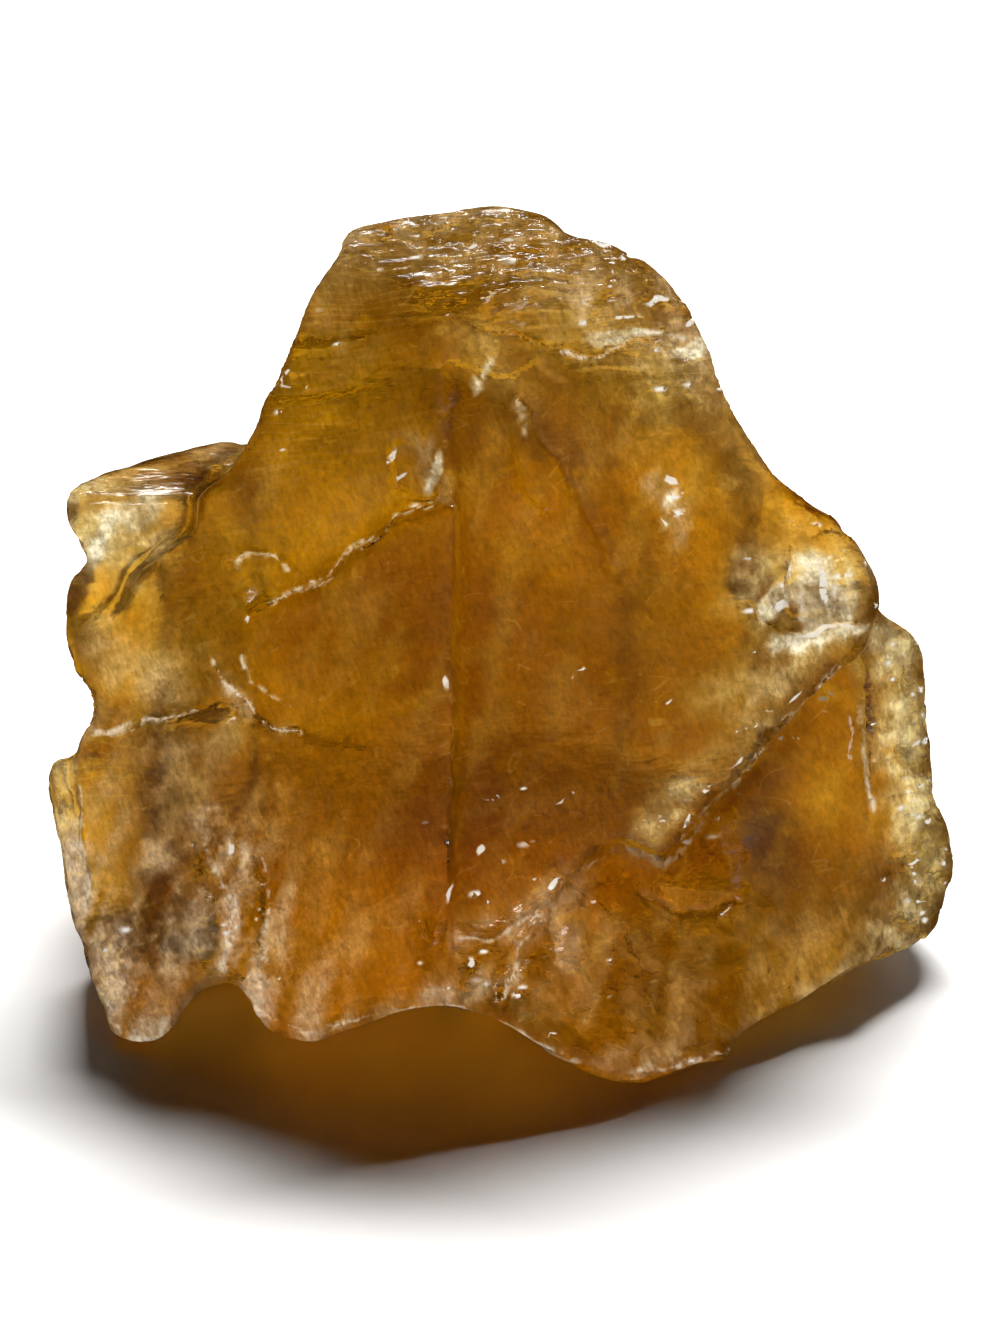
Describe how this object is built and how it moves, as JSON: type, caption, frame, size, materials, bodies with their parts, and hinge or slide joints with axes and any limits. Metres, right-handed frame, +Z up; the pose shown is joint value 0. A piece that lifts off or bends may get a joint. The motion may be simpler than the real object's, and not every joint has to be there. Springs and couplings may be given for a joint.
{
  "type": "rough honey calcite chunk",
  "caption": "Rough see-through honey calcite chunk, stepped along its cleavage, with a flat underside to rest on.",
  "frame": {"origin": "middle of the stone's box on the surface that it rests on", "axes": "+X along the width of the main face, -Y the side that the leaning main face looks out of, +Z up"},
  "size_m": [0.0922, 0.0746, 0.0693],
  "materials": {
    "calcite": "see-through honey-coloured crystal, glossy on its cleavage faces and hackly where it broke"
  },
  "bodies": {
    "root": {"honey_calcite": "calcite"}
  },
  "joints": []
}
